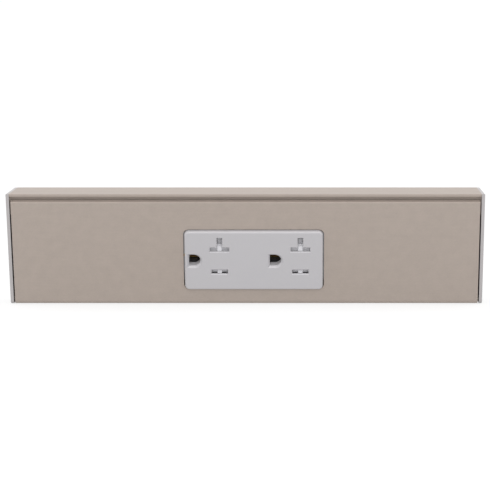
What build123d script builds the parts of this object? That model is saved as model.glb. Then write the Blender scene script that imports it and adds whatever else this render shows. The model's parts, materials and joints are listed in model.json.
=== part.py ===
from build123d import *
import math
import os

os.makedirs("parts", exist_ok=True)

# Under-cabinet power strip, slanted face, one duplex receptacle.
# X runs along the strip, -Y is the front, +Z is up.
# The origin is the middle of the top face, which lies against the cabinet.

# Overall size
overall_length = 228.6
top_depth = 58.0
overall_height = 54.8
face_angle = 29.0
wall = 1.6

# Front edge of the housing: lip, shadow groove and the web behind the cover
lip_height = 1.3
lip_round = 0.2
web_depth = 2.6
web_thickness = 1.4
web_reach = 13.2

# Front cover
cover_thickness = 1.6
return_thickness = 1.8
cover_gap = 0.65
cover_top_along = 4.75
cover_top_bevel = 0.3
cover_top_round = 0.5
cover_edge_round = 3.0
hook_thickness = 1.0
hook_overlap = 1.7
hook_clearance = 0.2
hook_end_gap = 0.4
return_end_gap = 0.3

# End caps
cap_thickness = 1.55
cap_proud = 0.3
cap_corner_round = 0.8
cap_edge_round = 0.45
cap_rib_thickness = 1.2
cap_rib_reach = 4.0
cap_rib_gap = 0.25
cap_top_rib = 19.0
cap_top_rib_y = 6.0
cap_back_rib = 14.5

# Screw ports that run the whole length of the housing
port_radius = 3.0
port_slit = 0.8

# Countersunk screws, shared by the end caps and the cover
screw_radius = 1.45
screw_head_radius = 2.75
head_half_angle = 41.0
screw_clearance = 0.05
pass_clearance = 0.25
cap_screw_length = 12.0
cover_screw_length = 7.0
cover_screw_pitch = 95.0
cover_screw_y = 14.0
recess_length = 2.6
recess_width = 0.55
recess_depth = 0.8

# Holes for the wall screws and the supply cable, all in the back wall
wall_hole_radius = 2.5
wall_pitch_x = 184.0
wall_pitch_z = 16.0
wall_screws_z = -33.0
entry_from_bond = 20.0
entry_z = -31.5
entry_radius = 11.1

# Earth point of the housing
bond_run = 12.0
bond_z = -14.0
bond_pad_height = 9.0
bond_pad_depth = 3.4
bond_hole_depth = 4.4

# Receptacle place on the slope
device_x = 3.75
device_along = 37.2
opening_gap = 0.5

# Receptacle face
face_end_margin = 13.8
face_width = 33.2
face_corner_round = 2.2
face_edge_round = 0.9
face_proud = 1.55
face_plate = 1.2
face_end_wall = 1.2
face_side_wall = 0.9

# Outlets of the 20 A pattern: blade line, ground line, slots
outlet_pitch = 38.9
outlet_shift = 3.0
ground_offset = 12.0
blade_offset = 6.35
bar_length = 9.2
bar_width = 2.35
stem_width = 2.4
stem_length = 5.45
slot_length = 7.8
slot_width = 2.4
slot_lead_in = 0.35
ground_width = 5.5
ground_height = 6.2
ground_lead_in = 0.9
ground_collar_depth = 2.7
ground_collar_wall = 0.7

# Tamper shutters
shutter_thickness = 2.8
shutter_base = 1.7
shutter_half_width = 5.2
shutter_base_top_y = 8.2
shutter_top_y = 13.1
shutter_travel = 7.95
shutter_gap = 0.1
ramp_rib_width = 2.1
ramp_high_y = 4.9
ramp_step_y = 7.5
ramp_step_deep = 0.75
ramp_deep = 2.3
slot_ramp_top_y = -4.9
window_half_width = 4.1
window_overlap = 0.15
wing_top_y = -2.6
wing_height = 1.8
wing_half_span = 8.0

# Shutter return springs
spring_x = 6.7
spring_radius = 1.05
spring_wire = 0.15
spring_turns = 9

# Shutter platform
platform_thickness = 1.3
platform_gap = 0.15
guide_thickness = 0.8
guide_end_gap = 1.7
blade_clearance = 0.2

# Strap
strap_thickness = 1.3
strap_ear_length = 17.8
strap_ear_width = 20.0
window_end_inset = 2.0
window_side_inset = 1.6
strap_corner_round = 3.0
ear_hole_offset = 7.15
ear_hole_radius = 2.1
ear_slot_length = 6.4

# Receptacle body
flange_thickness = 3.0
flange_past_end = 1.5
flange_past_side = 2.4
body_end_margin = 13.55
body_width = 31.2
body_depth = 19.5
body_wall = 1.4
chamber_wall = 1.05
chamber_offset = 3.45
post_radius = 2.2
post_y = 10.6
post_screw_radius = 1.1
post_screw_head_radius = 2.0
post_screw_head = 1.2
post_screw_engagement = 3.2

# Contacts
contact_thickness = 0.75
contact_gap = 0.85
contact_half_length = 3.6
contact_top = -7.2
contact_base = -20.0
wall_gap = 0.1
strip_height = 6.0
ground_leaf_offset = 2.45
ground_half_length = 2.6
ground_base = -17.8
ground_strip_half_width = 2.0
rivet_radius = 0.9
rivet_head_radius = 1.4
rivet_head = 0.8

# Screw terminals
terminal_pitch = 24.0
terminal_height = 8.7
terminal_half_width = 4.2
terminal_plate = 0.8
terminal_screw_radius = 1.7
terminal_head_radius = 3.7
terminal_head = 2.0
terminal_slot = 1.3
clamp_plate = 1.0
ground_tab_y = -9.5
ground_tab_depth = 10.5
terminal_reach = 1.2

# Leads: solid copper in a plastic jacket
conductor_radius = 1.0
jacket_radius = 1.65
wire_gap = 0.05
lead_bend = 8.0
short_bend = 5.0
lead_run = 20.0
lead_beside_screw = 2.9
bare_length = 9.8

# Twist-on connectors
connector_length = 20.0
connector_mouth_radius = 6.0
connector_tip_radius = 3.6
connector_bore = 13.0
connector_from_strap = 17.45
connector_cover_gap = 1.5
connector_rest_gap = 2.8
pair_offset = 2.0
trio_offset = 1.0
connector_fit = 0.2
jacket_entry = 4.0
tip_length = 7.0

# Studs that hold the strap behind the cover
stud_radius = 1.75
stud_length = 9.0
spacer_radius = 3.4
washer_radius = 3.7
washer_thickness = 0.7
nut_across_flats = 7.9
nut_height = 2.5

# Cable connector
connector_flange_radius = 13.0
connector_flange = 1.5
barrel_radius = 10.9
barrel_length = 13.0
throat_radius = 8.0
barb_height = 0.9
barb_length = 1.8
barb_width = 6.0

# Places worked out from the sizes above
sin_face = math.sin(math.radians(face_angle))
cos_face = math.cos(math.radians(face_angle))
tan_face = math.tan(math.radians(face_angle))
nose_y = -top_depth / 2
back_y = top_depth / 2
inner_back_y = back_y - wall
housing_length = overall_length - 2 * cap_thickness
cover_length = housing_length - 2 * cover_gap
cap_outer_x = overall_length / 2
cap_inner_x = housing_length / 2
bottom_z = -overall_height
shelf_low_z = bottom_z + return_thickness
shelf_top_z = shelf_low_z + wall
hook_front = web_depth + web_thickness + hook_clearance
hook_back = hook_front + hook_thickness
hook_top = web_reach - hook_overlap
hook_leg_top = web_reach + hook_end_gap
hook_low = hook_leg_top + hook_thickness
head_height = (screw_head_radius - screw_radius) / math.tan(math.radians(head_half_angle))
face_length = outlet_pitch + 2 * face_end_margin
body_length = outlet_pitch + 2 * body_end_margin
strap_window_length = body_length - 2 * window_end_inset
strap_window_width = body_width - 2 * window_side_inset
strap_middle_length = body_length + 2 * flange_past_end
strap_middle_width = body_width + 2 * flange_past_side
strap_length = strap_middle_length + 2 * strap_ear_length
ear_hole_pitch = strap_middle_length + 2 * ear_hole_offset
connector_x = device_x - strap_length / 2 - connector_from_strap
bond_x = connector_x + bond_run
entry_x = bond_x - entry_from_bond
white_connector_z = -wall - connector_mouth_radius - connector_rest_gap
black_connector_z = shelf_top_z + connector_mouth_radius + connector_rest_gap
green_connector_z = (white_connector_z + black_connector_z) / 2

# Depths of the cuts that go right through a wall or through shelf and return together
wall_cut = 2 * wall
cover_cut = 2 * cover_thickness
cap_cut = 2 * cap_thickness
shelf_cut = 2 * (wall + return_thickness)


def behind_face(z, depth):
    """Point of the section at height z on the line that lies depth behind the slanted face."""
    return (nose_y - z * tan_face + depth / cos_face, z)


def down_face(along, depth):
    """Point of the section that lies along the slope from the nose and depth behind the face."""
    return (
        nose_y + along * sin_face + depth * cos_face,
        -along * cos_face + depth * sin_face,
    )


connector_depth = cover_thickness + connector_cover_gap + connector_mouth_radius
connector_y = behind_face(black_connector_z, connector_depth)[0]


def block(plane, x_range, y_range, z_range, mode=Mode.ADD):
    """Rectangular block in a plane's own coordinates."""
    with BuildSketch(plane.offset(z_range[0])) as outline:
        with Locations((sum(x_range) / 2, sum(y_range) / 2)):
            Rectangle(x_range[1] - x_range[0], y_range[1] - y_range[0])
    extrude(outline.sketch, amount=z_range[1] - z_range[0], mode=mode)


def rod(plane, place, radius, z_range, mode=Mode.ADD):
    """Round rod in a plane's own coordinates."""
    with BuildSketch(plane.offset(z_range[0])) as outline:
        with Locations(place):
            Circle(radius)
    extrude(outline.sketch, amount=z_range[1] - z_range[0], mode=mode)


def flat_head_screw(plane, place, length, shank_radius=screw_radius):
    """Countersunk screw with a cross recess, its head flush with the plane, pointing along -z."""
    with BuildSketch(plane) as head:
        with Locations(place):
            Circle(screw_head_radius)
    extrude(head.sketch, amount=-head_height, taper=head_half_angle)
    rod(plane, place, shank_radius, (-length, -head_height))
    with BuildSketch(plane) as recess:
        with Locations(place):
            Rectangle(recess_length, recess_width)
            Rectangle(recess_width, recess_length)
    extrude(recess.sketch, amount=-recess_depth, mode=Mode.SUBTRACT)


# Section planes
section = Plane.YZ.offset(-housing_length / 2)
device = Plane(
    origin=(device_x, *down_face(device_along, 0)),
    x_dir=(1, 0, 0),
    z_dir=(0, -cos_face, -sin_face),
)
left_end = Plane(origin=(-cap_outer_x, 0, 0), x_dir=(0, -1, 0), z_dir=(-1, 0, 0))
right_end = Plane(origin=(cap_outer_x, 0, 0), x_dir=(0, 1, 0), z_dir=(1, 0, 0))
underside = Plane(origin=(0, 0, bottom_z), x_dir=(1, 0, 0), z_dir=(0, 0, -1))
bond_face = Plane(
    origin=(bond_x, inner_back_y - bond_pad_depth, bond_z),
    x_dir=(1, 0, 0),
    z_dir=(0, -1, 0),
)

# Screw ports: behind the web, in the top back corner and in the bottom back corner
port_inset = port_radius - wall / 2
front_port_y = behind_face(-wall - port_inset, web_depth + port_radius)[0]
ports = [
    (front_port_y, -wall - port_inset),
    (inner_back_y - port_inset, -wall - port_inset),
    (inner_back_y - port_inset, shelf_top_z + port_inset),
]
cover_screw_places = [(x, -cover_screw_y) for x in (-cover_screw_pitch, 0, cover_screw_pitch)]
shelf_front_y = behind_face(shelf_top_z, cover_thickness)[0] + cover_edge_round

# Housing: one aluminium extrusion
with BuildPart() as housing:
    with BuildSketch(section):
        with BuildLine():
            Polyline(
                (nose_y, 0),
                (back_y, 0),
                (back_y, bottom_z),
                (inner_back_y, bottom_z),
                (inner_back_y, shelf_low_z),
                (shelf_front_y, shelf_low_z),
                (shelf_front_y, shelf_top_z),
                (inner_back_y, shelf_top_z),
                (inner_back_y, -wall),
                behind_face(-wall, web_depth + web_thickness),
                down_face(web_reach, web_depth + web_thickness),
                down_face(web_reach, web_depth),
                behind_face(-lip_height, web_depth),
                behind_face(-lip_height, 0),
                close=True,
            )
        make_face()
        with Locations((inner_back_y - bond_pad_depth / 2, bond_z)):
            Rectangle(bond_pad_depth, bond_pad_height)
        with Locations(*ports):
            Circle(port_radius)
        with Locations(*ports):
            Circle(screw_radius + screw_clearance, mode=Mode.SUBTRACT)
        for port_y, port_z in ports:
            toward_middle = 1 if port_y < 0 else -1
            with Locations((port_y + toward_middle * port_radius, port_z)):
                Rectangle(2 * port_radius, port_slit, mode=Mode.SUBTRACT)
    extrude(amount=housing_length)
    nose_edge = housing.edges().filter_by(Axis.X).sort_by(Axis.Y)[0:2].sort_by(Axis.Z)[-1]
    fillet(nose_edge, lip_round)
    with BuildSketch(Plane(origin=(0, back_y, 0), x_dir=(1, 0, 0), z_dir=(0, -1, 0))):
        with Locations((entry_x, entry_z)):
            Circle(entry_radius)
        with Locations((0, wall_screws_z)):
            with GridLocations(wall_pitch_x, wall_pitch_z, 2, 2):
                Circle(wall_hole_radius)
    extrude(amount=wall_cut, mode=Mode.SUBTRACT)
    with BuildSketch(underside):
        with Locations(*cover_screw_places):
            Circle(screw_radius + screw_clearance)
    extrude(amount=-shelf_cut, mode=Mode.SUBTRACT)
    with BuildSketch(bond_face):
        Circle(terminal_screw_radius + screw_clearance)
    extrude(amount=-bond_hole_depth, mode=Mode.SUBTRACT)
housing.part.label = "housing"
export_step(housing.part, "parts/housing.step")

# Front cover: slanted plate with a hook around the end of the web and a return along the bottom
return_end_y = inner_back_y - return_end_gap
with BuildPart() as front_cover:
    with BuildSketch(Plane.YZ.offset(-cover_length / 2)):
        with BuildLine():
            Polyline(
                down_face(cover_top_along, 0),
                behind_face(bottom_z, 0),
                (return_end_y, bottom_z),
                (return_end_y, shelf_low_z),
                behind_face(shelf_low_z, cover_thickness),
                down_face(hook_low, cover_thickness),
                down_face(hook_low, hook_back),
                down_face(hook_top, hook_back),
                down_face(hook_top, hook_front),
                down_face(hook_leg_top, hook_front),
                down_face(hook_leg_top, cover_thickness),
                down_face(cover_top_along - cover_top_bevel, cover_thickness),
                close=True,
            )
        make_face()
    extrude(amount=cover_length)
    lengthwise = front_cover.edges().filter_by(Axis.X)
    low_edges = lengthwise.filter_by_position(Axis.Z, bottom_z, shelf_low_z).sort_by(Axis.Y)
    fillet(low_edges[0], cover_edge_round)
    top_edge = front_cover.edges().filter_by(Axis.X).sort_by(Axis.Y)[0]
    fillet(top_edge, cover_top_round)
    with BuildSketch(device):
        RectangleRounded(
            face_length + 2 * opening_gap,
            face_width + 2 * opening_gap,
            face_corner_round + opening_gap,
        )
    extrude(amount=-cover_cut, mode=Mode.SUBTRACT)
    with Locations(underside):
        with Locations(*cover_screw_places):
            CounterSinkHole(
                screw_radius + pass_clearance,
                screw_head_radius + screw_clearance,
                depth=return_thickness + wall,
                counter_sink_angle=2 * head_half_angle,
            )
front_cover.part.label = "front_cover"
export_step(front_cover.part, "parts/front_cover.step")


def cap_plate(side):
    """Flat plate of an end cap, over the whole end of the section."""
    with BuildSketch(Plane.YZ.offset(side * cap_inner_x)) as plate:
        with BuildLine():
            Polyline(
                behind_face(0, -cap_proud),
                (back_y, 0),
                (back_y, bottom_z),
                behind_face(bottom_z, -cap_proud),
                close=True,
            )
        make_face()
        front_low = plate.vertices().sort_by(Axis.Y)[0:2].sort_by(Axis.X)[0]
        fillet(front_low, cover_edge_round + cap_proud)
        fillet(plate.vertices().sort_by(Axis.X)[-2:], cap_corner_round)
    extrude(plate.sketch, amount=side * cap_thickness)


def cap_ribs(side):
    """Short ribs inside the top and back walls that centre the cap on the housing."""
    plane = Plane.YZ.offset(side * (cap_inner_x - cap_rib_reach))
    rib_from_wall = wall + cap_rib_gap + cap_rib_thickness / 2
    with BuildSketch(plane) as ribs:
        with Locations((cap_top_rib_y, -rib_from_wall)):
            Rectangle(cap_top_rib, cap_rib_thickness)
        with Locations((back_y - rib_from_wall, (bottom_z + bond_z) / 2)):
            Rectangle(cap_rib_thickness, cap_back_rib)
    extrude(ribs.sketch, amount=side * cap_rib_reach)


def cap_screw_holes(end, places):
    """Countersunk holes of an end cap, one in front of each screw port."""
    with Locations(end):
        with Locations(*places):
            CounterSinkHole(
                screw_radius + pass_clearance,
                screw_head_radius + screw_clearance,
                depth=cap_cut,
                counter_sink_angle=2 * head_half_angle,
            )


# Left end cap
left_places = [(-y, z) for y, z in ports]
with BuildPart() as end_cap_left:
    cap_plate(-1)
    fillet(end_cap_left.faces().sort_by(Axis.X)[0].edges(), cap_edge_round)
    cap_ribs(-1)
    cap_screw_holes(left_end, left_places)
end_cap_left.part.label = "end_cap_left"
export_step(end_cap_left.part, "parts/end_cap_left.step")

# Right end cap
with BuildPart() as end_cap_right:
    cap_plate(1)
    fillet(end_cap_right.faces().sort_by(Axis.X)[-1].edges(), cap_edge_round)
    cap_ribs(1)
    cap_screw_holes(right_end, ports)
end_cap_right.part.label = "end_cap_right"
export_step(end_cap_right.part, "parts/end_cap_right.step")

# Screws of the left end cap
with BuildPart() as end_cap_screws_left:
    for place in left_places:
        flat_head_screw(left_end, place, cap_screw_length)
end_cap_screws_left.part.label = "end_cap_screws_left"
export_step(end_cap_screws_left.part, "parts/end_cap_screws_left.step")

# Screws of the right end cap
with BuildPart() as end_cap_screws_right:
    for place in ports:
        flat_head_screw(right_end, place, cap_screw_length)
end_cap_screws_right.part.label = "end_cap_screws_right"
export_step(end_cap_screws_right.part, "parts/end_cap_screws_right.step")

# Screws that hold the cover to the shelf of the housing, from beneath
with BuildPart() as cover_screws:
    for place in cover_screw_places:
        flat_head_screw(underside, place, cover_screw_length)
cover_screws.part.label = "cover_screws"
export_step(cover_screws.part, "parts/cover_screws.step")

# Levels of the receptacle, measured outward from the slanted face
plate_back = face_proud - face_plate
shutter_top = plate_back - shutter_gap
shutter_low = shutter_top - shutter_thickness
platform_top = shutter_low - shutter_gap
platform_low = platform_top - platform_thickness
strap_front = platform_low
strap_back = strap_front - strap_thickness
flange_back = strap_back - flange_thickness
body_back = flange_back - body_depth
blade_xs = (outlet_shift - outlet_pitch / 2, outlet_shift + outlet_pitch / 2)
ground_xs = tuple(x - ground_offset for x in blade_xs)
posts = [(x, side * post_y) for x in ground_xs for side in (-1, 1)]
face_inner_x = face_length / 2 - face_end_wall
face_inner_y = face_width / 2 - face_side_wall
bar_top_y = blade_offset + bar_width / 2
shutter_low_y = shutter_travel + shutter_gap - face_inner_y


def t_slot(x, extra=0):
    """T-shaped slot of a 20 A neutral."""
    with Locations((x, blade_offset)):
        Rectangle(bar_length + 2 * extra, bar_width + 2 * extra)
    with Locations((x, bar_top_y + stem_length / 2)):
        Rectangle(stem_width + 2 * extra, stem_length + 2 * extra)


def line_slot(x, extra=0):
    """Straight slot of the hot blade."""
    with Locations((x, -blade_offset)):
        Rectangle(slot_length + 2 * extra, slot_width + 2 * extra)


def ground_hole(x, extra=0):
    """D-shaped ground hole, flat on the left and half round on the right."""
    half = ground_height / 2 + extra
    flat_x = x - ground_width / 2 - extra
    round_x = x + (ground_width - ground_height) / 2
    with BuildLine() as outline:
        Polyline((round_x, half), (flat_x, half), (flat_x, -half), (round_x, -half))
        ThreePointArc((round_x, -half), (round_x + half, 0), (round_x, half))
    make_face(outline.edges())


# Receptacle face: moulded front with slots, collared ground holes and screw posts
with BuildPart() as receptacle_face:
    with BuildSketch(device.offset(strap_front)):
        RectangleRounded(face_length, face_width, face_corner_round)
    extrude(amount=face_proud - strap_front)
    outward = Axis(device.origin, device.z_dir)
    fillet(receptacle_face.faces().sort_by(outward)[-1].edges(), face_edge_round)
    with BuildSketch(device.offset(strap_front)):
        RectangleRounded(2 * face_inner_x, 2 * face_inner_y, face_corner_round - face_side_wall)
    extrude(amount=plate_back - strap_front, mode=Mode.SUBTRACT)
    with BuildSketch(device.offset(plate_back - ground_collar_depth)):
        for ground_x in ground_xs:
            ground_hole(ground_x, ground_collar_wall)
    extrude(amount=ground_collar_depth)
    with BuildSketch(device.offset(strap_front)):
        with Locations(*posts):
            Circle(post_radius)
    extrude(amount=plate_back - strap_front)
    with BuildSketch(device.offset(strap_front)):
        with Locations(*posts):
            Circle(post_screw_radius + screw_clearance)
    extrude(amount=post_screw_engagement + wall_gap, mode=Mode.SUBTRACT)
    with BuildSketch(device.offset(face_proud)):
        for ground_x in ground_xs:
            ground_hole(ground_x)
    extrude(amount=platform_top - face_proud, mode=Mode.SUBTRACT)
    front = receptacle_face.faces().sort_by(outward)[-1]
    chamfer([edge for wire in front.inner_wires() for edge in wire.edges()], ground_lead_in)
    with BuildSketch(device.offset(face_proud)):
        for blade_x in blade_xs:
            t_slot(blade_x)
            line_slot(blade_x)
    extrude(amount=platform_top - face_proud, mode=Mode.SUBTRACT)
    front = receptacle_face.faces().sort_by(outward)[-1]
    slot_edges = []
    for wire in front.inner_wires():
        if all(edge.geom_type == GeomType.LINE for edge in wire.edges()):
            slot_edges += wire.edges()
    chamfer(slot_edges, slot_lead_in)
receptacle_face.part.label = "receptacle_face"
export_step(receptacle_face.part, "parts/receptacle_face.step")


def shutter(x):
    """Sprung slider that closes both blade slots of one outlet."""
    window_top = shutter_travel - blade_offset + slot_width / 2 + window_overlap
    window_low = shutter_travel - blade_offset - slot_width / 2 - window_overlap
    plate_x = (x - shutter_half_width, x + shutter_half_width)
    wing_x = (x - wing_half_span, x + wing_half_span)
    window_x = (x - window_half_width, x + window_half_width)
    full_height = (shutter_low, shutter_top)
    base_top = shutter_low + shutter_base
    block(device, plate_x, (shutter_low_y, shutter_base_top_y), (shutter_low, base_top))
    block(device, wing_x, (wing_top_y - wing_height, wing_top_y), full_height)
    rib_plane = Plane(
        origin=device.origin + device.x_dir * (x - ramp_rib_width / 2),
        x_dir=device.y_dir,
        z_dir=device.x_dir,
    )
    with BuildSketch(rib_plane) as rib:
        with BuildLine():
            Polyline(
                (shutter_top_y, shutter_low),
                (shutter_top_y, shutter_top - ramp_deep),
                (ramp_step_y, shutter_top - ramp_deep),
                (ramp_step_y, shutter_top - ramp_step_deep),
                (ramp_high_y, shutter_top),
                (slot_ramp_top_y, shutter_top),
                (slot_ramp_top_y, base_top),
                (shutter_low_y, shutter_top),
                (shutter_low_y, shutter_low),
                close=True,
            )
        make_face()
    extrude(rib.sketch, amount=ramp_rib_width)
    block(device, window_x, (window_low, window_top), full_height, Mode.SUBTRACT)


# Left shutter
with BuildPart() as shutter_left:
    shutter(blade_xs[0])
shutter_left.part.label = "shutter_left"
export_step(shutter_left.part, "parts/shutter_left.step")

# Right shutter
with BuildPart() as shutter_right:
    shutter(blade_xs[1])
shutter_right.part.label = "shutter_right"
export_step(shutter_right.part, "parts/shutter_right.step")


def return_springs(x):
    """Pair of compression springs between the wings of a shutter and the side wall of the face."""
    spring_top = wing_top_y - wing_height
    spring_length = spring_top + face_inner_y
    pitch = (spring_length - 2 * spring_wire) / spring_turns
    for side in (-1, 1):
        seat = device.origin + device.x_dir * (x + side * spring_x)
        seat = seat + device.y_dir * (spring_wire - face_inner_y)
        seat = seat + device.z_dir * ((shutter_top + shutter_low) / 2)
        coil_plane = Plane(origin=seat, x_dir=device.x_dir, z_dir=device.y_dir)
        coil = coil_plane.from_local_coords(Helix(pitch, spring_length - 2 * spring_wire, spring_radius))
        with BuildSketch(Plane(origin=coil @ 0, z_dir=coil % 0)) as wire:
            Circle(spring_wire)
        sweep(wire.sketch, path=coil)


# Springs of the left shutter
with BuildPart() as shutter_springs_left:
    return_springs(blade_xs[0])
shutter_springs_left.part.label = "shutter_springs_left"
export_step(shutter_springs_left.part, "parts/shutter_springs_left.step")

# Springs of the right shutter
with BuildPart() as shutter_springs_right:
    return_springs(blade_xs[1])
shutter_springs_right.part.label = "shutter_springs_right"
export_step(shutter_springs_right.part, "parts/shutter_springs_right.step")

# Shutter platform: plate behind both shutters, with blade openings, guides and closed stops
platform_x = face_inner_x - platform_gap
platform_y = face_inner_y - platform_gap
with BuildPart() as shutter_platform:
    with BuildSketch(device.offset(platform_low)):
        RectangleRounded(2 * platform_x, 2 * platform_y, face_corner_round - face_side_wall)
        with Locations(*posts):
            Circle(post_radius + pass_clearance, mode=Mode.SUBTRACT)
    extrude(amount=platform_thickness)
    for blade_x in blade_xs:
        for side in (-1, 1):
            guide_inner = blade_x + side * (shutter_half_width + shutter_gap)
            guide_outer = guide_inner + side * guide_thickness
            block(
                device,
                sorted((guide_inner, guide_outer)),
                (wing_top_y + shutter_gap, face_inner_y - guide_end_gap),
                (platform_low, plate_back - shutter_gap),
            )
    with BuildSketch(device.offset(platform_low)):
        for blade_x in blade_xs:
            t_slot(blade_x, blade_clearance)
            line_slot(blade_x, blade_clearance)
        for ground_x in ground_xs:
            ground_hole(ground_x, blade_clearance)
    extrude(amount=platform_thickness, mode=Mode.SUBTRACT)
shutter_platform.part.label = "shutter_platform"
export_step(shutter_platform.part, "parts/shutter_platform.step")

# Ground terminal: the strap's bent tab stands off the left end of the body
tab_x = -strap_middle_length / 2 - wall_gap
tab_outer_x = tab_x - strap_thickness
tab_screw_z = strap_back - ground_tab_depth / 2
studs = [(-ear_hole_pitch / 2, 0), (ear_hole_pitch / 2, 0)]
rivet_place = (-body_length / 2, 0)

# Strap: steel plate with a window, mounting ears and the bent tab for the ground screw
with BuildPart() as receptacle_strap:
    with BuildSketch(device.offset(strap_back)):
        RectangleRounded(strap_middle_length, strap_middle_width, strap_corner_round)
        RectangleRounded(strap_length, strap_ear_width, strap_corner_round)
        Rectangle(strap_window_length, strap_window_width, mode=Mode.SUBTRACT)
        with Locations(*posts):
            Circle(post_radius + pass_clearance, mode=Mode.SUBTRACT)
        with Locations(*studs):
            SlotOverall(ear_slot_length, 2 * ear_hole_radius, mode=Mode.SUBTRACT)
    extrude(amount=strap_thickness)
    block(
        device,
        (tab_outer_x, tab_x),
        (ground_tab_y - terminal_half_width, ground_tab_y + terminal_half_width),
        (strap_back - ground_tab_depth, strap_back),
    )
    tab_plane = Plane(
        origin=device.origin + device.x_dir * tab_outer_x,
        x_dir=device.y_dir,
        z_dir=device.x_dir,
    )
    rod(
        tab_plane,
        (ground_tab_y, tab_screw_z),
        terminal_screw_radius + screw_clearance,
        (0, strap_thickness),
        Mode.SUBTRACT,
    )
    rod(device, rivet_place, rivet_radius + screw_clearance, (strap_back, strap_front), Mode.SUBTRACT)
receptacle_strap.part.label = "receptacle_strap"
export_step(receptacle_strap.part, "parts/receptacle_strap.step")

# Places inside the body
body_inner_x = body_length / 2 - body_wall
body_inner_y = body_width / 2 - body_wall
strip_outer_y = body_inner_y - wall_gap
strip_top = contact_base + strip_height
terminal_xs = (-terminal_pitch / 2, terminal_pitch / 2)
terminal_z = strip_top - terminal_height / 2
terminal_face_y = body_width / 2 + wall_gap + terminal_plate
clamp_face_y = terminal_face_y + 2 * (conductor_radius + wire_gap)
head_face_y = clamp_face_y + clamp_plate
rivet_low = strap_back - contact_thickness - rivet_head
tab_end_x = rivet_place[0] - ground_strip_half_width


def side_plane(side):
    """Plane along the middle of the receptacle whose z points out of its upper or lower side."""
    return Plane(origin=device.origin, x_dir=device.x_dir, z_dir=device.y_dir * side)


# Receptacle body: moulded tub with three contact chambers and four screw columns
with BuildPart() as receptacle_body:
    with BuildSketch(device.offset(flange_back)):
        RectangleRounded(strap_middle_length, strap_middle_width, strap_corner_round)
    extrude(amount=flange_thickness)
    with BuildSketch(device.offset(body_back)):
        RectangleRounded(body_length, body_width, body_wall)
    extrude(amount=body_depth)
    with BuildSketch(device.offset(body_back + body_wall)):
        Rectangle(2 * body_inner_x, 2 * body_inner_y)
        rib_y = chamber_offset + chamber_wall / 2
        with Locations((0, -rib_y), (0, rib_y)):
            Rectangle(2 * body_inner_x, chamber_wall, mode=Mode.SUBTRACT)
        with Locations(*posts):
            Circle(post_radius, mode=Mode.SUBTRACT)
    extrude(amount=strap_back - body_back - body_wall, mode=Mode.SUBTRACT)
    with BuildSketch(device.offset(strap_back)):
        with Locations(*posts):
            Circle(post_radius)
    extrude(amount=strap_thickness)
    with BuildSketch(device.offset(strap_front)):
        with Locations(*posts):
            Circle(post_screw_radius + pass_clearance)
    extrude(amount=body_back - strap_front, mode=Mode.SUBTRACT)
    for side in (-1, 1):
        for terminal_x in terminal_xs:
            slot_reach = terminal_half_width + wall_gap
            block(
                device,
                (terminal_x - slot_reach, terminal_x + slot_reach),
                sorted((side * (body_inner_y - wall_gap), side * (body_width / 2 + wall_gap))),
                (strip_top - terminal_plate - wall_gap, strip_top + wall_gap),
                Mode.SUBTRACT,
            )
            rod(
                side_plane(side),
                (terminal_x, -side * terminal_z),
                terminal_screw_radius + pass_clearance,
                (body_inner_y, body_width / 2 + wall_gap),
                Mode.SUBTRACT,
            )
    block(
        device,
        (-strap_middle_length, -body_inner_x + wall_gap),
        (-ground_strip_half_width - wall_gap, ground_strip_half_width + wall_gap),
        (rivet_low - wall_gap, strap_back),
        Mode.SUBTRACT,
    )
receptacle_body.part.label = "receptacle_body"
export_step(receptacle_body.part, "parts/receptacle_body.step")

# Long screws that clamp body, strap and face together from behind
with BuildPart() as assembly_screws:
    for post in posts:
        rod(device, post, post_screw_head_radius, (body_back - post_screw_head, body_back))
        rod(device, post, post_screw_radius, (body_back, strap_front + post_screw_engagement))
assembly_screws.part.label = "assembly_screws"
export_step(assembly_screws.part, "parts/assembly_screws.step")


def side_contact(side, with_stem):
    """Brass strip along one side of the body with a blade clip and a terminal plate per outlet."""
    strip_y = sorted((side * (strip_outer_y - contact_thickness), side * strip_outer_y))
    contact_xs = (blade_xs[0] - contact_half_length, blade_xs[1] + contact_half_length)
    block(device, contact_xs, strip_y, (contact_base, strip_top))
    leaf_in = blade_offset - contact_gap - contact_thickness
    leaf_out = blade_offset + contact_gap
    for blade_x in blade_xs:
        clip_x = (blade_x - contact_half_length, blade_x + contact_half_length)
        base_y = sorted((side * leaf_in, side * strip_outer_y))
        block(device, clip_x, base_y, (contact_base, contact_base + contact_thickness))
        for leaf in (leaf_in, leaf_out):
            leaf_y = sorted((side * leaf, side * (leaf + contact_thickness)))
            block(device, clip_x, leaf_y, (contact_base, contact_top))
        if with_stem:
            stem_low = leaf_out + contact_thickness + contact_gap - wall_gap
            stem_y = sorted((side * stem_low, side * (stem_low + stem_length - contact_gap)))
            for stem_side in (-1, 1):
                stem_in = blade_x + stem_side * contact_gap
                stem_x = sorted((stem_in, stem_in + stem_side * contact_thickness))
                block(device, stem_x, stem_y, (contact_base, contact_top))
    for terminal_x in terminal_xs:
        plate_x = (terminal_x - terminal_half_width, terminal_x + terminal_half_width)
        tab_y = sorted((side * (strip_outer_y - contact_thickness), side * terminal_face_y))
        block(device, plate_x, tab_y, (strip_top - terminal_plate, strip_top))
        plate_y = sorted((side * (terminal_face_y - terminal_plate), side * terminal_face_y))
        block(device, plate_x, plate_y, (strip_top - terminal_height, strip_top))
        rod(
            side_plane(side),
            (terminal_x, -side * terminal_z),
            terminal_screw_radius + screw_clearance,
            (body_width / 2, terminal_face_y),
            Mode.SUBTRACT,
        )


# Neutral contact, behind the T-shaped slots
with BuildPart() as neutral_contact:
    side_contact(1, True)
neutral_contact.part.label = "neutral_contact"
export_step(neutral_contact.part, "parts/neutral_contact.step")

# Hot contact, behind the straight slots
with BuildPart() as hot_contact:
    side_contact(-1, False)
hot_contact.part.label = "hot_contact"
export_step(hot_contact.part, "parts/hot_contact.step")

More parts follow.
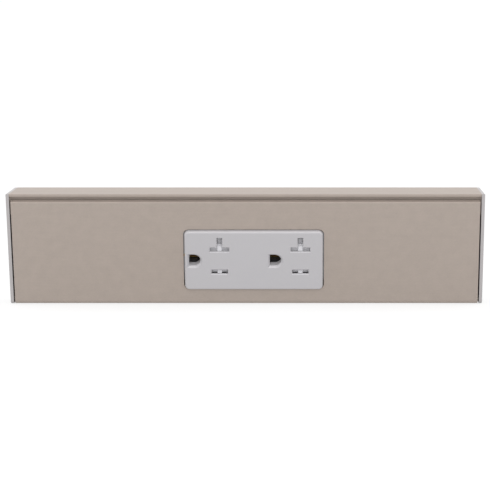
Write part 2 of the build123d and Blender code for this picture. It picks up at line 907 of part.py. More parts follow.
# Ground contact: strip with two pin clips, led up under the strap at its left end
with BuildPart() as ground_contact:
    leaf_outer_y = ground_leaf_offset + contact_thickness
    strip_y = (-ground_strip_half_width, ground_strip_half_width)
    ground_top = ground_base + contact_thickness
    riser_x = (-body_inner_x + wall_gap, -body_inner_x + wall_gap + contact_thickness)
    block(device, (riser_x[0], ground_xs[1] + ground_half_length), strip_y, (ground_base, ground_top))
    block(device, riser_x, strip_y, (ground_base, strap_back))
    block(device, (tab_end_x, riser_x[1]), strip_y, (strap_back - contact_thickness, strap_back))
    for ground_x in ground_xs:
        clip_x = (ground_x - ground_half_length, ground_x + ground_half_length)
        block(device, clip_x, (-leaf_outer_y, leaf_outer_y), (ground_base, ground_top))
        for side in (-1, 1):
            leaf_y = sorted((side * ground_leaf_offset, side * leaf_outer_y))
            block(device, clip_x, leaf_y, (ground_base, contact_top))
    rod(
        device,
        rivet_place,
        rivet_radius + screw_clearance,
        (strap_back - contact_thickness, strap_back),
        Mode.SUBTRACT,
    )
ground_contact.part.label = "ground_contact"
export_step(ground_contact.part, "parts/ground_contact.step")

# Rivet that joins the ground contact to the strap
with BuildPart() as ground_rivet:
    rod(device, rivet_place, rivet_head_radius, (rivet_low, rivet_low + rivet_head))
    rod(device, rivet_place, rivet_radius, (rivet_low + rivet_head, strap_front))
ground_rivet.part.label = "ground_rivet"
export_step(ground_rivet.part, "parts/ground_rivet.step")


def slotted_screw(plane, place, head_low, tip):
    """Terminal screw with a slotted head, its axis along the plane's z."""
    head_top = head_low + terminal_head
    rod(plane, place, terminal_head_radius, (head_low, head_top))
    rod(plane, place, terminal_screw_radius, (tip, head_low))
    slot_x = (place[0] - terminal_head_radius, place[0] + terminal_head_radius)
    slot_y = (place[1] - terminal_slot / 2, place[1] + terminal_slot / 2)
    block(plane, slot_x, slot_y, (head_top - recess_depth, head_top), Mode.SUBTRACT)


def side_screws(side):
    """Both terminal screws on one side of the body."""
    for terminal_x in terminal_xs:
        place = (terminal_x, -side * terminal_z)
        slotted_screw(side_plane(side), place, head_face_y, body_width / 2 - terminal_reach)


def clamp(plane, place, low):
    """Square clamping plate under a terminal screw."""
    x_range = (place[0] - terminal_half_width, place[0] + terminal_half_width)
    y_range = (place[1] - terminal_height / 2, place[1] + terminal_height / 2)
    block(plane, x_range, y_range, (low, low + clamp_plate))
    rod(plane, place, terminal_screw_radius + screw_clearance, (low, low + clamp_plate), Mode.SUBTRACT)


# Silver terminal screws of the neutral side
with BuildPart() as neutral_terminal_screws:
    side_screws(1)
neutral_terminal_screws.part.label = "neutral_terminal_screws"
export_step(neutral_terminal_screws.part, "parts/neutral_terminal_screws.step")

# Brass terminal screws of the hot side
with BuildPart() as hot_terminal_screws:
    side_screws(-1)
hot_terminal_screws.part.label = "hot_terminal_screws"
export_step(hot_terminal_screws.part, "parts/hot_terminal_screws.step")

# Clamping plates of the neutral side
with BuildPart() as neutral_clamp_plates:
    for terminal_x in terminal_xs:
        clamp(side_plane(1), (terminal_x, -terminal_z), clamp_face_y)
neutral_clamp_plates.part.label = "neutral_clamp_plates"
export_step(neutral_clamp_plates.part, "parts/neutral_clamp_plates.step")

# Clamping plates of the hot side
with BuildPart() as hot_clamp_plates:
    for terminal_x in terminal_xs:
        clamp(side_plane(-1), (terminal_x, terminal_z), clamp_face_y)
hot_clamp_plates.part.label = "hot_clamp_plates"
export_step(hot_clamp_plates.part, "parts/hot_clamp_plates.step")

# Ground terminal on the bent tab of the strap, its axis along the strip
tab_face = Plane(
    origin=device.origin + device.x_dir * tab_outer_x,
    x_dir=device.y_dir,
    z_dir=-device.x_dir,
)
ground_place = (ground_tab_y, -tab_screw_z)
ground_clamp_low = 2 * (conductor_radius + wire_gap)
with BuildPart() as ground_clamp_plate:
    clamp(tab_face, ground_place, ground_clamp_low)
ground_clamp_plate.part.label = "ground_clamp_plate"
export_step(ground_clamp_plate.part, "parts/ground_clamp_plate.step")

# Green ground screw of the receptacle
with BuildPart() as ground_terminal_screw:
    slotted_screw(tab_face, ground_place, ground_clamp_low + clamp_plate, -strap_thickness)
ground_terminal_screw.part.label = "ground_terminal_screw"
export_step(ground_terminal_screw.part, "parts/ground_terminal_screw.step")

# Clamping plate of the earth point, on the pad inside the back wall
with BuildPart() as bond_clamp_plate:
    clamp(bond_face, (0, 0), ground_clamp_low)
bond_clamp_plate.part.label = "bond_clamp_plate"
export_step(bond_clamp_plate.part, "parts/bond_clamp_plate.step")

# Green bonding screw of the housing
with BuildPart() as bond_screw:
    slotted_screw(bond_face, (0, 0), ground_clamp_low + clamp_plate, terminal_reach - bond_hole_depth)
bond_screw.part.label = "bond_screw"
export_step(bond_screw.part, "parts/bond_screw.step")


def twist_connector(z, bores):
    """Twist-on connector, mouth to the right, with one bore for each wire that it takes."""
    mouth = Plane(origin=(connector_x, connector_y, z), x_dir=(0, -1, 0), z_dir=(-1, 0, 0))
    taper = math.degrees(math.atan2(connector_mouth_radius - connector_tip_radius, connector_length))
    with BuildSketch(mouth) as skirt:
        Circle(connector_mouth_radius)
    extrude(skirt.sketch, amount=connector_length, taper=taper)
    for bore in bores:
        rod(mouth, bore, jacket_radius + connector_fit, (0, jacket_entry + connector_fit), Mode.SUBTRACT)
        rod(mouth, bore, conductor_radius + connector_fit, (0, connector_bore), Mode.SUBTRACT)


pair_bores = [(pair_offset, 0), (-pair_offset, 0)]
trio_bores = [(pair_offset, -trio_offset), (-pair_offset, -trio_offset), (0, pair_offset)]

# Connector of the neutral wires
with BuildPart() as connector_white:
    twist_connector(white_connector_z, pair_bores)
connector_white.part.label = "connector_white"
export_step(connector_white.part, "parts/connector_white.step")

# Connector of the hot wires
with BuildPart() as connector_black:
    twist_connector(black_connector_z, pair_bores)
connector_black.part.label = "connector_black"
export_step(connector_black.part, "parts/connector_black.step")

# Connector of the ground wires
with BuildPart() as connector_green:
    twist_connector(green_connector_z, trio_bores)
connector_green.part.label = "connector_green"
export_step(connector_green.part, "parts/connector_green.step")


def jacket(points, bend=lead_bend):
    """Plastic tube around the conductor, along the points."""
    with BuildLine() as route:
        FilletPolyline(*points, radius=bend)
    path = route.wires()[0]
    with BuildSketch(Plane(origin=path @ 0, z_dir=path % 0)) as ring:
        Circle(jacket_radius)
        Circle(conductor_radius + wire_gap, mode=Mode.SUBTRACT)
    sweep(ring.sketch, path=path)


def core(bare_start, points, bend=lead_bend):
    """Solid conductor, bare from bare_start to the jacket and again beyond the jacket's end."""
    last = points[-1]
    tip = (last[0] - tip_length, last[1], last[2])
    with BuildLine() as route:
        FilletPolyline(bare_start, *points[1:-1], tip, radius=bend)
    path = route.wires()[0]
    with BuildSketch(Plane(origin=path @ 0, z_dir=path % 0)) as disc:
        Circle(conductor_radius)
    sweep(disc.sketch, path=path)


def connector_end(z, bore):
    """Where a lead's jacket ends inside its connector."""
    return (connector_x - jacket_entry, connector_y - bore[0], z + bore[1])


def before_connector(end):
    """Last corner of a lead's route, straight in front of the connector."""
    return (end[0] + jacket_entry + lead_bend, end[1], end[2])


# Where the long runs leave the receptacle for the connectors
leave_x = connector_x + lead_run
side_wire_y = terminal_face_y + wire_gap + conductor_radius
side_wire_z = terminal_z - lead_beside_screw
side_wire_start = terminal_xs[0] + terminal_half_width



def side_route(wire_y, connector_z, bore):
    """Corners of the jacket from a left side terminal to its connector."""
    jacket_start = device.from_local_coords((side_wire_start - bare_length, wire_y, side_wire_z))
    end = connector_end(connector_z, bore)
    return [jacket_start, (leave_x, jacket_start.Y, jacket_start.Z), before_connector(end), end]


# White lead, from the upper left terminal
white_route = side_route(side_wire_y, white_connector_z, pair_bores[0])
with BuildPart() as white_lead:
    jacket(white_route)
white_lead.part.label = "white_lead"
export_step(white_lead.part, "parts/white_lead.step")

# Conductor of the white lead
with BuildPart() as white_core:
    core(device.from_local_coords((side_wire_start, side_wire_y, side_wire_z)), white_route)
white_core.part.label = "white_core"
export_step(white_core.part, "parts/white_core.step")

# Black lead, from the lower left terminal
black_route = side_route(-side_wire_y, black_connector_z, pair_bores[1])
with BuildPart() as black_lead:
    jacket(black_route)
black_lead.part.label = "black_lead"
export_step(black_lead.part, "parts/black_lead.step")

# Conductor of the black lead
with BuildPart() as black_core:
    core(device.from_local_coords((side_wire_start, -side_wire_y, side_wire_z)), black_route)
black_core.part.label = "black_core"
export_step(black_core.part, "parts/black_core.step")

# Green lead, from the ground screw of the strap
ground_wire_x = tab_outer_x - wire_gap - conductor_radius
ground_wire_y = ground_tab_y - lead_beside_screw
ground_wire_z = tab_screw_z + terminal_height / 2
green_end = connector_end(green_connector_z, trio_bores[0])
green_route = [
    device.from_local_coords((ground_wire_x, ground_wire_y, ground_wire_z - bare_length)),
    device.from_local_coords((ground_wire_x, ground_wire_y, body_back)),
    before_connector(green_end),
    green_end,
]
with BuildPart() as green_lead:
    jacket(green_route, short_bend)
green_lead.part.label = "green_lead"
export_step(green_lead.part, "parts/green_lead.step")

# Conductor of the green lead
with BuildPart() as green_core:
    core(device.from_local_coords((ground_wire_x, ground_wire_y, ground_wire_z)), green_route, short_bend)
green_core.part.label = "green_core"
export_step(green_core.part, "parts/green_core.step")

# Bonding lead, from the housing's earth point
bond_wire_x = bond_x - lead_beside_screw
bond_wire_y = bond_face.origin.Y - wire_gap - conductor_radius
bond_wire_top = bond_z + terminal_height / 2
bond_end = connector_end(green_connector_z, trio_bores[1])
bond_route = [
    (bond_wire_x, bond_wire_y, bond_wire_top - bare_length),
    (bond_wire_x, bond_wire_y, bond_end[2]),
    before_connector(bond_end),
    bond_end,
]
with BuildPart() as bond_lead:
    jacket(bond_route, short_bend)
bond_lead.part.label = "bond_lead"
export_step(bond_lead.part, "parts/bond_lead.step")

# Conductor of the bonding lead
with BuildPart() as bond_core:
    core((bond_wire_x, bond_wire_y, bond_wire_top), bond_route, short_bend)
bond_core.part.label = "bond_core"
export_step(bond_core.part, "parts/bond_core.step")

# Studs on the back of the cover, with spacers, lock washers and nuts
nut_top = strap_back - washer_thickness
with BuildPart() as cover_studs:
    for stud in studs:
        rod(device, stud, stud_radius, (-cover_thickness - stud_length, -cover_thickness))
cover_studs.part.label = "cover_studs"
export_step(cover_studs.part, "parts/cover_studs.step")

# Spacers between the cover and the strap
with BuildPart() as stud_spacers:
    for stud in studs:
        rod(device, stud, spacer_radius, (strap_front, -cover_thickness))
        rod(device, stud, stud_radius + screw_clearance, (strap_front, -cover_thickness), Mode.SUBTRACT)
stud_spacers.part.label = "stud_spacers"
export_step(stud_spacers.part, "parts/stud_spacers.step")

# Lock washers
with BuildPart() as lock_washers:
    for stud in studs:
        rod(device, stud, washer_radius, (nut_top, strap_back))
        rod(device, stud, stud_radius + screw_clearance, (nut_top, strap_back), Mode.SUBTRACT)
lock_washers.part.label = "lock_washers"
export_step(lock_washers.part, "parts/lock_washers.step")

# Nuts that hold the strap
with BuildPart() as strap_nuts:
    with BuildSketch(device.offset(nut_top - nut_height)):
        with Locations(*studs):
            RegularPolygon(nut_across_flats / 2, 6, major_radius=False)
            Circle(stud_radius + screw_clearance, mode=Mode.SUBTRACT)
    extrude(amount=nut_height)
strap_nuts.part.label = "strap_nuts"
export_step(strap_nuts.part, "parts/strap_nuts.step")

# Cable connector: snap-in bushing in the entry hole of the back wall
entry_face = Plane(origin=(entry_x, back_y, entry_z), x_dir=(-1, 0, 0), z_dir=(0, 1, 0))
with BuildPart() as cable_connector:
    rod(entry_face, (0, 0), connector_flange_radius, (0, connector_flange))
    rod(entry_face, (0, 0), barrel_radius, (-barrel_length, 0))
    barb_reach = entry_radius + barb_height
    barb_top = -wall - wall_gap
    barb_x = (-barb_width / 2, barb_width / 2)
    block(entry_face, barb_x, (-barb_reach, barb_reach), (barb_top - barb_length, barb_top))
    rod(entry_face, (0, 0), throat_radius, (-barrel_length, connector_flange), Mode.SUBTRACT)
cable_connector.part.label = "cable_connector"
export_step(cable_connector.part, "parts/cable_connector.step")
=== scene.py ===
# %% [markdown]
# # Under-cabinet power strip
# The solids of this object come from a CAD program and are already the right size and shape.
# Blender's part is the finish: paint, plastic, plated steel, brass and light.
# We load the solids as a fixed frame, and measure their box.

import json
import math

import bpy
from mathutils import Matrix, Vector


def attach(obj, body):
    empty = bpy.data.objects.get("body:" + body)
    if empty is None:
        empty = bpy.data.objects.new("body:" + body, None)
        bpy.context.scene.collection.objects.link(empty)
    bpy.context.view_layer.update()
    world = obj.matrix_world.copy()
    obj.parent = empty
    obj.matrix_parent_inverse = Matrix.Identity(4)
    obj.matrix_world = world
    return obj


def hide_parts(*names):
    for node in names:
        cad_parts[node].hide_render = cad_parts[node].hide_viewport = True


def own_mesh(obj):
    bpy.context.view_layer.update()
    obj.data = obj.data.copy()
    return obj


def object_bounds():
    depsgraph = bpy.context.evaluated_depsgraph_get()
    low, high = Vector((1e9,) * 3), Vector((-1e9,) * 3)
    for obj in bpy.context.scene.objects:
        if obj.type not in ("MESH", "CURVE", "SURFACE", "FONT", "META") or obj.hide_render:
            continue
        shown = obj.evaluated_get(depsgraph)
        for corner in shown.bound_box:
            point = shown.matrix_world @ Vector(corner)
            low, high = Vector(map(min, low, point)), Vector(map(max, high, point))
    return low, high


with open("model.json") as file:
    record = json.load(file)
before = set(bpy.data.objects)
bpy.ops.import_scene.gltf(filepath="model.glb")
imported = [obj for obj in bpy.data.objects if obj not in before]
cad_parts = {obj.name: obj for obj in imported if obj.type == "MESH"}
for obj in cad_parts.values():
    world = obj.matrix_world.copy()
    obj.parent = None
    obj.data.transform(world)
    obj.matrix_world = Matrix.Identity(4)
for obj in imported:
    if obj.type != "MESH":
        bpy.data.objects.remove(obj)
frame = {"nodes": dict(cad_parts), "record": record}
nodes = frame["nodes"]
cad_low, cad_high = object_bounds()
print("CAD box in mm:", [round(1000 * (b - a), 2) for a, b in zip(cad_low, cad_high)])

# %% [markdown]
# ## Camera
# The picture was taken from almost two metres away with a long lens, so parallel edges stay
# nearly parallel. The camera looks 4 degrees down, which is why a thin band of the top shows.
# The strip sits a little left of the lens axis. Shifting the sensor keeps the edges upright;
# turning the camera instead would make one end look taller than the other.
# The view transform is the plain one, so that a colour comes out as it is written.

# %% Camera
IMAGE_WIDTH_PX = 490
FOCAL_LENGTH_PX = 3825
AXIS_X_PX = 306.7
SENSOR_MM = 36.0
TILT_DOWN_DEGREES = 4
CAMERA_PLACE = (0.02924, -1.848, 0.10288)

camera = bpy.data.objects.new("camera", bpy.data.cameras.new("camera"))
bpy.context.collection.objects.link(camera)
camera.data.sensor_width = SENSOR_MM
camera.data.lens = FOCAL_LENGTH_PX / IMAGE_WIDTH_PX * SENSOR_MM
camera.data.shift_x = (IMAGE_WIDTH_PX / 2 - AXIS_X_PX) / IMAGE_WIDTH_PX
camera.location = CAMERA_PLACE
camera.rotation_euler = (math.radians(90 - TILT_DOWN_DEGREES), 0, 0)
bpy.context.scene.camera = camera
bpy.context.scene.view_settings.view_transform = "Standard"
print("Lens in mm:", round(camera.data.lens, 1), "shift:", round(camera.data.shift_x, 3))

# %% [markdown]
# ## A helper for node materials
# A Blender material is a graph of nodes. Building it in code takes three steps for every node:
# make it, set it, link it. One small helper does all three, so that a recipe below reads from
# top to bottom.

# %% Node helper
def add(tree, kind, inputs=None, stops=(), **settings):
    """Adds a node. An input is a plain value or another node's output; stops are a ramp's colours."""
    node = tree.nodes.new(kind)
    for name, value in settings.items():
        setattr(node, name, value)
    for name, value in (inputs or {}).items():
        if isinstance(value, bpy.types.NodeSocket):
            tree.links.new(value, node.inputs[name])
        else:
            node.inputs[name].default_value = value
    for element, (position, colour) in zip(node.color_ramp.elements if stops else (), stops):
        element.position = position
        element.color = colour
    return node


def empty_material(name):
    """Material without any node yet; returns it with its tree."""
    material = bpy.data.materials.new(name)
    material.use_nodes = True
    material.node_tree.nodes.clear()
    return material, material.node_tree


print("Materials so far:", len(bpy.data.materials))

# %% [markdown]
# ## Colour and scale
# Colours are written as the hex values that a paint chart or a screen shows, and one function
# turns them into the linear light that the renderer works in. A texture's scale counts
# cycles per metre, while a maker measures grain in millimetres, so a second function
# converts the one into the other.

# %% Colour and scale
def linear(code, lighter=1.0):
    """sRGB hex such as b0a49b as linear RGBA, made lighter or darker by a factor."""
    channels = [int(code[i:i + 2], 16) / 255 for i in (0, 2, 4)]
    light = [c / 12.92 if c <= 0.04045 else ((c + 0.055) / 1.055) ** 2.4 for c in channels]
    return (*[min(1.0, c * lighter) for c in light], 1.0)


def grey(brightness):
    """Neutral linear RGBA; 1 is white."""
    return (brightness, brightness, brightness, 1.0)


def per_metre(millimetres):
    """Noise scale whose features are that many millimetres wide."""
    return 1000 / millimetres


print("Champagne paint in linear light:", [round(c, 3) for c in linear("b0a49b")])

# %% [markdown]
# ## Floor
# A product picture has a white sheet under and behind the object. For the camera, and in
# reflections, this one is a diffuse sheet that adds some light of its own: it reads as white
# and still darkens where the object shades it. The light that it throws back up is set apart
# from that look: part of it is diffuse, so that it fades in the object's own shade, and part
# is an even glow, as a wide sheet in a bright studio gives. The sheet isn't sampled as a
# lamp, because a plane this wide would leave a hard diagonal on the underside. Seen from
# beneath it is clear, so that a camera under the floor can look up at the underside.

# %% Paper
FIBRE_MM = 4.0
FIBRE_CONTRAST = 0.02
SHEET_DIFFUSE = 0.26
SHEET_GLOW = 0.75
THROWN_DIFFUSE = 0.17
THROWN_GLOW = 0.415


def seen_or_mirrored(tree):
    """Output that is 1 for what the camera sees, also by reflection or through glass."""
    rays = add(tree, "ShaderNodeLightPath")
    direct = add(tree, "ShaderNodeMath",
                 {0: rays.outputs["Is Camera Ray"], 1: rays.outputs["Is Glossy Ray"]}, operation="MAXIMUM")
    seen = add(tree, "ShaderNodeMath",
               {0: direct.outputs[0], 1: rays.outputs["Is Transmission Ray"]}, operation="MAXIMUM")
    return seen.outputs[0]


paper, tree = empty_material("white_paper_sheet")
place = add(tree, "ShaderNodeTexCoord").outputs["Object"]
fibre = add(tree, "ShaderNodeTexNoise",
            {"Vector": place, "Scale": per_metre(FIBRE_MM), "Detail": 3.0})
tone = add(tree, "ShaderNodeValToRGB", {"Fac": fibre.outputs["Fac"]},
           stops=((0.3, grey(SHEET_DIFFUSE * (1 - FIBRE_CONTRAST))),
                  (0.7, grey(SHEET_DIFFUSE * (1 + FIBRE_CONTRAST)))))
shade = add(tree, "ShaderNodeBsdfDiffuse", {"Color": tone.outputs["Color"]})
glow = add(tree, "ShaderNodeEmission", {"Color": grey(1.0), "Strength": SHEET_GLOW})
seen_sheet = add(tree, "ShaderNodeAddShader", {0: shade.outputs[0], 1: glow.outputs[0]})
thrown_shade = add(tree, "ShaderNodeBsdfDiffuse", {"Color": grey(THROWN_DIFFUSE)})
thrown_glow = add(tree, "ShaderNodeEmission", {"Color": grey(1.0), "Strength": THROWN_GLOW})
thrown = add(tree, "ShaderNodeAddShader", {0: thrown_shade.outputs[0], 1: thrown_glow.outputs[0]})
above = add(tree, "ShaderNodeMixShader",
            {0: seen_or_mirrored(tree), 1: thrown.outputs[0], 2: seen_sheet.outputs[0]})
clear = add(tree, "ShaderNodeBsdfTransparent")
side = add(tree, "ShaderNodeNewGeometry")
both = add(tree, "ShaderNodeMixShader",
           {0: side.outputs["Backfacing"], 1: above.outputs[0], 2: clear.outputs[0]})
add(tree, "ShaderNodeOutputMaterial", {"Surface": both.outputs[0]})
paper.cycles.emission_sampling = "NONE"
print("Paper nodes:", len(tree.nodes))

# %% Floor
FLOOR_SIZE = 60
FLOOR_GAP = 0.0002
bpy.ops.mesh.primitive_plane_add(size=FLOOR_SIZE, location=(0, 0, cad_low.z - FLOOR_GAP))
floor = bpy.context.object
floor.name = "floor"
floor.data.materials.append(paper)
print("Floor at", round(1000 * floor.location.z, 2), "mm")

# %% [markdown]
# ## World and lamps
# A light tent lights its object from everywhere, and nearly all of the light here is such an
# even dome. It makes the top the brightest face, lays a highlight on every upward edge and
# leaves a soft shadow under whatever stands proud of the slope. A wide, weak lamp faces the
# slope from slightly right of the camera, and a faint one from above helps the top along.

# %% World
FILL = 1.08
world = bpy.data.worlds.new("studio")
bpy.context.scene.world = world
world.use_nodes = True
tree = world.node_tree
tree.nodes.clear()
fill = add(tree, "ShaderNodeBackground", {"Color": grey(1.0), "Strength": FILL})
white = add(tree, "ShaderNodeBackground", {"Color": grey(1.0), "Strength": 1.0})
sky = add(tree, "ShaderNodeMixShader",
          {0: seen_or_mirrored(tree), 1: fill.outputs[0], 2: white.outputs[0]})
add(tree, "ShaderNodeOutputWorld", {"Surface": sky.outputs[0]})
print("World fill:", FILL)

# %% Lamps
SOFTBOX_SIZE = 1.2
FRONT_LAMP_PLACE = (0.1, -1.8, 0.5)
FRONT_LAMP_WATTS = 10.6
TOP_LAMP_PLACE = (0.05, -0.7, 1.5)
TOP_LAMP_WATTS = 0.9


def softbox(name, place, power):
    """Square area lamp at place, in metres, that faces the object."""
    lamp = bpy.data.objects.new(name, bpy.data.lights.new(name, "AREA"))
    bpy.context.collection.objects.link(lamp)
    lamp.data.size = SOFTBOX_SIZE
    lamp.data.energy = power
    lamp.location = place
    lamp.rotation_euler = (-Vector(place)).to_track_quat("-Z", "Y").to_euler()


softbox("front_lamp", FRONT_LAMP_PLACE, FRONT_LAMP_WATTS)
softbox("top_lamp", TOP_LAMP_PLACE, TOP_LAMP_WATTS)

# %% [markdown]
# ## Finishes
# Every finish starts from what the real piece is made of and how its surface came about.
# The solids are in metres and lie where they belong, so object coordinates measure real
# distances: a noise of 2500 cycles per metre makes grains 0.4 mm wide on every piece alike.
# A finish has three layers: a colour that wanders slightly, a roughness that follows the
# same grain, and a fine relief given by a bump node, whose height is set in millimetres.
#
# ### Powder-coated aluminium
# Housing and cover are aluminium extrusions with a champagne powder coat that holds fine
# mica. Powder melts into a satin film with a faint orange peel about a millimetre wide, and
# the die leaves hairlines along the strip that still show through it. A stretched noise
# gives the hairlines, a round noise the peel, and a finer one the mica. The mica grains are
# really 0.05 mm wide; they are drawn at 0.8 mm, because finer ones would vanish. A cloud
# of 4.5 mm stands for the slightly uneven film.

# %% Powder-coated aluminium
HAIRLINE_MM = 0.7
HAIRLINE_STRETCH = 0.02
PEEL_MM = 1.4
MICA_MM = 0.8
CLOUD_MM = 4.5
FILM_RELIEF_MM = 0.012


def powder_coated_aluminium(name, code):
    material, tree = empty_material(name)
    place = add(tree, "ShaderNodeTexCoord").outputs["Object"]
    along = add(tree, "ShaderNodeMapping", {"Vector": place, "Scale": (HAIRLINE_STRETCH, 1.0, 1.0)})
    hairlines = add(tree, "ShaderNodeTexNoise",
                    {"Vector": along.outputs[0], "Scale": per_metre(HAIRLINE_MM), "Detail": 4.0})
    peel = add(tree, "ShaderNodeTexNoise", {"Vector": place, "Scale": per_metre(PEEL_MM), "Detail": 2.0})
    mica = add(tree, "ShaderNodeTexNoise", {"Vector": place, "Scale": per_metre(MICA_MM), "Detail": 2.0})
    cloud = add(tree, "ShaderNodeTexNoise", {"Vector": place, "Scale": per_metre(CLOUD_MM), "Detail": 2.0})
    grain = add(tree, "ShaderNodeMix",
                {"Factor": 0.3, "A": mica.outputs["Fac"], "B": hairlines.outputs["Fac"]})
    tone = add(tree, "ShaderNodeMix",
               {"Factor": 0.4, "A": grain.outputs["Result"], "B": cloud.outputs["Fac"]})
    colour = add(tree, "ShaderNodeValToRGB", {"Fac": tone.outputs["Result"]},
                 stops=((0.3, linear(code, 0.94)), (0.7, linear(code, 1.06))))
    satin = add(tree, "ShaderNodeMapRange", {"Value": mica.outputs["Fac"], "To Min": 0.5, "To Max": 0.62})
    height = add(tree, "ShaderNodeMix",
                 {"Factor": 0.25, "A": peel.outputs["Fac"], "B": hairlines.outputs["Fac"]})
    relief = add(tree, "ShaderNodeBump",
                 {"Height": height.outputs["Result"], "Distance": FILM_RELIEF_MM / 1000})
    shader = add(tree, "ShaderNodeBsdfPrincipled",
                 {"Base Color": colour.outputs["Color"], "Roughness": satin.outputs["Result"],
                  "Metallic": 0.15, "IOR": 1.5, "Normal": relief.outputs["Normal"]})
    add(tree, "ShaderNodeOutputMaterial", {"Surface": shader.outputs[0]})
    return material


finishes = {"satin_paint": powder_coated_aluminium("powder_coated_aluminium_champagne", "b0a49b")}
print("Finishes so far:", list(finishes))

# %% [markdown]
# ### Moulded plastics
# The end caps are ABS from a spark-eroded mould, which leaves a matt grain. The receptacle's
# face is a smoother, glossier nylon blend, and the parts inside are glass-filled nylon with
# a cloudier surface. Shutters are slippery acetal, wire connectors polypropylene, and the
# wires' jackets extruded PVC, which is smooth with a slow wave. One recipe serves them all
# with other sizes of grain and gloss. Real spark erosion is 0.03 mm deep and 0.2 mm wide;
# it is drawn twice as wide.

# %% Moulded plastics
FLOW_MM = 14


def moulded_plastic(name, code, roughness, grain_mm, depth_mm, spread, ior=1.5):
    material, tree = empty_material(name)
    place = add(tree, "ShaderNodeTexCoord").outputs["Object"]
    grain = add(tree, "ShaderNodeTexNoise", {"Vector": place, "Scale": per_metre(grain_mm), "Detail": 3.0})
    flow = add(tree, "ShaderNodeTexNoise", {"Vector": place, "Scale": per_metre(FLOW_MM), "Detail": 2.0})
    tone = add(tree, "ShaderNodeMix", {"Factor": 0.5, "A": grain.outputs["Fac"], "B": flow.outputs["Fac"]})
    colour = add(tree, "ShaderNodeValToRGB", {"Fac": tone.outputs["Result"]},
                 stops=((0.3, linear(code, 1 - spread)), (0.7, linear(code, 1 + spread))))
    gloss = add(tree, "ShaderNodeMapRange",
                {"Value": grain.outputs["Fac"], "To Min": roughness - 0.05, "To Max": roughness + 0.07})
    relief = add(tree, "ShaderNodeBump", {"Height": grain.outputs["Fac"], "Distance": depth_mm / 1000})
    shader = add(tree, "ShaderNodeBsdfPrincipled",
                 {"Base Color": colour.outputs["Color"], "Roughness": gloss.outputs["Result"],
                  "IOR": ior, "Normal": relief.outputs["Normal"]})
    add(tree, "ShaderNodeOutputMaterial", {"Surface": shader.outputs[0]})
    return material


# Slot: name, colour, roughness, grain and its depth in mm, spread of the colour, and the IOR if not 1.5
PLASTICS = {
    "cap_plastic": ("moulded_abs_grey", "bab6b6", 0.5, 0.45, 0.02, 0.02),
    "device_plastic": ("moulded_nylon_light_grey", "c3c1c4", 0.36, 1.1, 0.004, 0.012),
    "shutter_plastic": ("moulded_acetal_white", "e4e3e7", 0.35, 0.8, 0.004, 0.01, 1.48),
    "platform_plastic": ("moulded_nylon_charcoal", "3b3b3d", 0.5, 0.6, 0.012, 0.08),
    "body_plastic": ("glass_filled_nylon_grey", "4a4a4c", 0.55, 0.7, 0.018, 0.1),
    "bushing_plastic": ("moulded_nylon_black", "2a2a2c", 0.42, 0.6, 0.01, 0.1),
    "yellow_cap": ("moulded_polypropylene_yellow", "d8b32a", 0.4, 0.7, 0.012, 0.04),
    "red_cap": ("moulded_polypropylene_red", "b3382c", 0.4, 0.7, 0.012, 0.05),
    "green_cap": ("moulded_polypropylene_green", "2c8a48", 0.4, 0.7, 0.012, 0.05),
    "black_jacket": ("extruded_pvc_black", "1c1c1e", 0.35, 1.2, 0.008, 0.12),
    "white_jacket": ("extruded_pvc_white", "e4e4e0", 0.38, 1.2, 0.008, 0.015),
    "green_jacket": ("extruded_pvc_green", "1f7a3c", 0.36, 1.2, 0.008, 0.06),
}
for slot_name, recipe in PLASTICS.items():
    finishes[slot_name] = moulded_plastic(*recipe)
print("Finishes so far:", len(finishes))

# %% [markdown]
# ### Metals
# Screws, strap and studs are steel with a zinc plating, which crystallises into patches a
# few millimetres wide that catch the light differently. Contacts are rolled brass strip with
# lines along the rolling direction, and wire is drawn, which leaves lines along it too. A
# metal's colour is its reflection, so metallic is 1 and the IOR keeps its default.

# %% Metals
LINE_STRETCH = 0.05
LINE_RELIEF_MM = 0.004


def lined_metal(name, code, roughness, patch_mm, line_mm, spread):
    material, tree = empty_material(name)
    place = add(tree, "ShaderNodeTexCoord").outputs["Object"]
    patches = add(tree, "ShaderNodeTexVoronoi", {"Vector": place, "Scale": per_metre(patch_mm)})
    shades = add(tree, "ShaderNodeSeparateColor", {"Color": patches.outputs["Color"]})
    along = add(tree, "ShaderNodeMapping", {"Vector": place, "Scale": (LINE_STRETCH, 1.0, 1.0)})
    lines = add(tree, "ShaderNodeTexNoise",
                {"Vector": along.outputs[0], "Scale": per_metre(line_mm), "Detail": 3.0})
    tone = add(tree, "ShaderNodeMix",
               {"Factor": 0.55, "A": shades.outputs["Red"], "B": lines.outputs["Fac"]})
    colour = add(tree, "ShaderNodeValToRGB", {"Fac": tone.outputs["Result"]},
                 stops=((0.3, linear(code, 1 - spread)), (0.7, linear(code, 1 + spread))))
    gloss = add(tree, "ShaderNodeMapRange",
                {"Value": tone.outputs["Result"], "To Min": roughness - 0.06, "To Max": roughness + 0.08})
    relief = add(tree, "ShaderNodeBump",
                 {"Height": lines.outputs["Fac"], "Distance": LINE_RELIEF_MM / 1000})
    shader = add(tree, "ShaderNodeBsdfPrincipled",
                 {"Base Color": colour.outputs["Color"], "Roughness": gloss.outputs["Result"],
                  "Metallic": 1.0, "Normal": relief.outputs["Normal"]})
    add(tree, "ShaderNodeOutputMaterial", {"Surface": shader.outputs[0]})
    return material


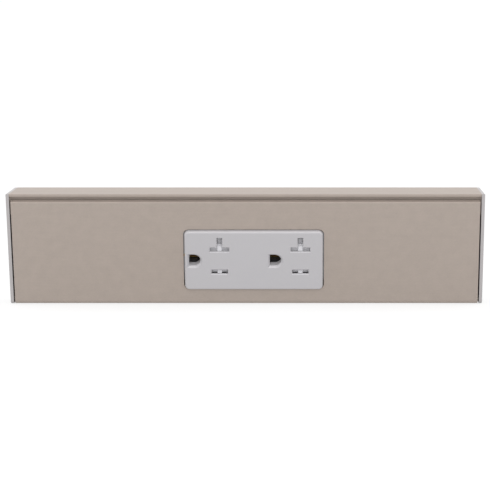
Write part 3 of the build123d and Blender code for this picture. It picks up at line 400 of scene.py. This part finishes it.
# Slot: name, colour, roughness, width of the patches and of the lines in mm, spread of the colour
METALS = {
    "zinc_steel": ("zinc_plated_steel", "b9bcc0", 0.34, 2.2, 0.5, 0.07),
    "spring_steel": ("drawn_spring_steel", "a9acb0", 0.3, 1.5, 0.3, 0.05),
    "contact_brass": ("rolled_brass_strip", "c9a55c", 0.28, 3.0, 0.4, 0.05),
    "brass_screw": ("turned_brass", "c2984a", 0.3, 2.0, 0.3, 0.05),
    "silver_screw": ("nickel_plated_steel", "c8c9cb", 0.26, 2.0, 0.3, 0.05),
    "green_screw": ("dyed_zinc_steel_green", "2f7d46", 0.36, 2.0, 0.4, 0.08),
    "copper": ("drawn_copper_wire", "c98a62", 0.3, 2.5, 0.3, 0.05),
}
for slot_name, recipe in METALS.items():
    finishes[slot_name] = lined_metal(*recipe)
print("Finishes in all:", len(finishes))

# %% [markdown]
# ## Dressing the solids
# The record that came with the solids says which finish each of them has. Their shapes stay
# as they are; only the material in each slot changes.

# %% Put the finishes on
for piece in frame["record"]["subparts"]:
    for slot in nodes[piece["node"]].material_slots:
        slot.material = finishes[piece["material_slot"]]

# %% [markdown]
# ## Shutter springs
# Behind each outlet two small compression springs push the safety shutter up over its slots.
# A solid can't be squeezed, so each pair is drawn here again as a mesh. Every size is
# in millimetres, measured along the strip, down the slope from the nose, and into the slope.

# %% Spring sizes
SLOPE = math.radians(29)
DOWN_THE_SLOPE = Vector((0, math.sin(SLOPE), -math.cos(SLOPE)))
INTO_THE_SLOPE = Vector((0, math.cos(SLOPE), math.sin(SLOPE)))
NOSE = Vector((0, -29.0, 0))
COIL_RADIUS = 1.05
WIRE_RADIUS = 0.15
TURNS = 9
STEPS_PER_TURN = 20
SPRING_FOOT = 52.9
SPRING_HEAD = 41.6
SPRING_DEPTH = 1.15
SPRING_SPREAD = 6.7
print("Spring length in mm:", round(SPRING_FOOT - SPRING_HEAD, 2))

# %% [markdown]
# ### Winding a spring
# A helix is a circle whose centre moves on as it turns, so every point comes from one angle
# and one share of the length. A curve is led through the points, and its bevel gives it the
# wire's thickness. A screw modifier could wind a profile too, but it would turn about one of
# the world's axes, and these springs lie along the slope.

# %% Winding a spring
def on_the_slope(x, along, depth):
    """Point in metres, from millimetres along the strip, down the slope and into it."""
    return (NOSE + Vector((x, 0, 0)) + DOWN_THE_SLOPE * along + INTO_THE_SLOPE * depth) / 1000


def coil_spring(curve, x):
    """One helix between the two seats, as a fine polyline of the curve."""
    spline = curve.splines.new("POLY")
    spline.points.add(TURNS * STEPS_PER_TURN)
    for i, point in enumerate(spline.points):
        angle = math.tau * i / STEPS_PER_TURN
        share = i / (TURNS * STEPS_PER_TURN)
        along = SPRING_FOOT - WIRE_RADIUS - share * (SPRING_FOOT - SPRING_HEAD - 2 * WIRE_RADIUS)
        centre = on_the_slope(x + COIL_RADIUS * math.cos(angle), along,
                              SPRING_DEPTH + COIL_RADIUS * math.sin(angle))
        point.co = (*centre, 1)


print("Points in a spring:", TURNS * STEPS_PER_TURN + 1)

# %% [markdown]
# ### Both pairs
# Each pair becomes one mesh that takes the place of the CAD's solid springs. It rides
# on the strip.

# %% Both pairs of springs
WIRE_ROUNDNESS = 2
OUTLETS = {"left": -12.7, "right": 26.2}

for side_name, blade_x in OUTLETS.items():
    curve = bpy.data.curves.new("spring_wire", "CURVE")
    curve.dimensions = "3D"
    curve.bevel_depth = WIRE_RADIUS / 1000
    curve.bevel_resolution = WIRE_ROUNDNESS
    curve.use_fill_caps = True
    for shift in (-SPRING_SPREAD, SPRING_SPREAD):
        coil_spring(curve, blade_x + shift)
    bent = bpy.data.objects.new("bent_wire", curve)
    springs = bpy.data.objects.new(f"coil_springs_{side_name}", bpy.data.meshes.new_from_object(bent))
    bpy.data.objects.remove(bent)
    bpy.context.collection.objects.link(springs)
    springs.data.polygons.foreach_set("use_smooth", [True] * len(springs.data.polygons))
    springs.data.materials.clear()
    springs.data.materials.append(finishes["spring_steel"])
    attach(springs, "strip")
    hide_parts(f"shutter_springs_{side_name}")
    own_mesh(springs)
    print(springs.name, "faces:", len(springs.data.polygons))
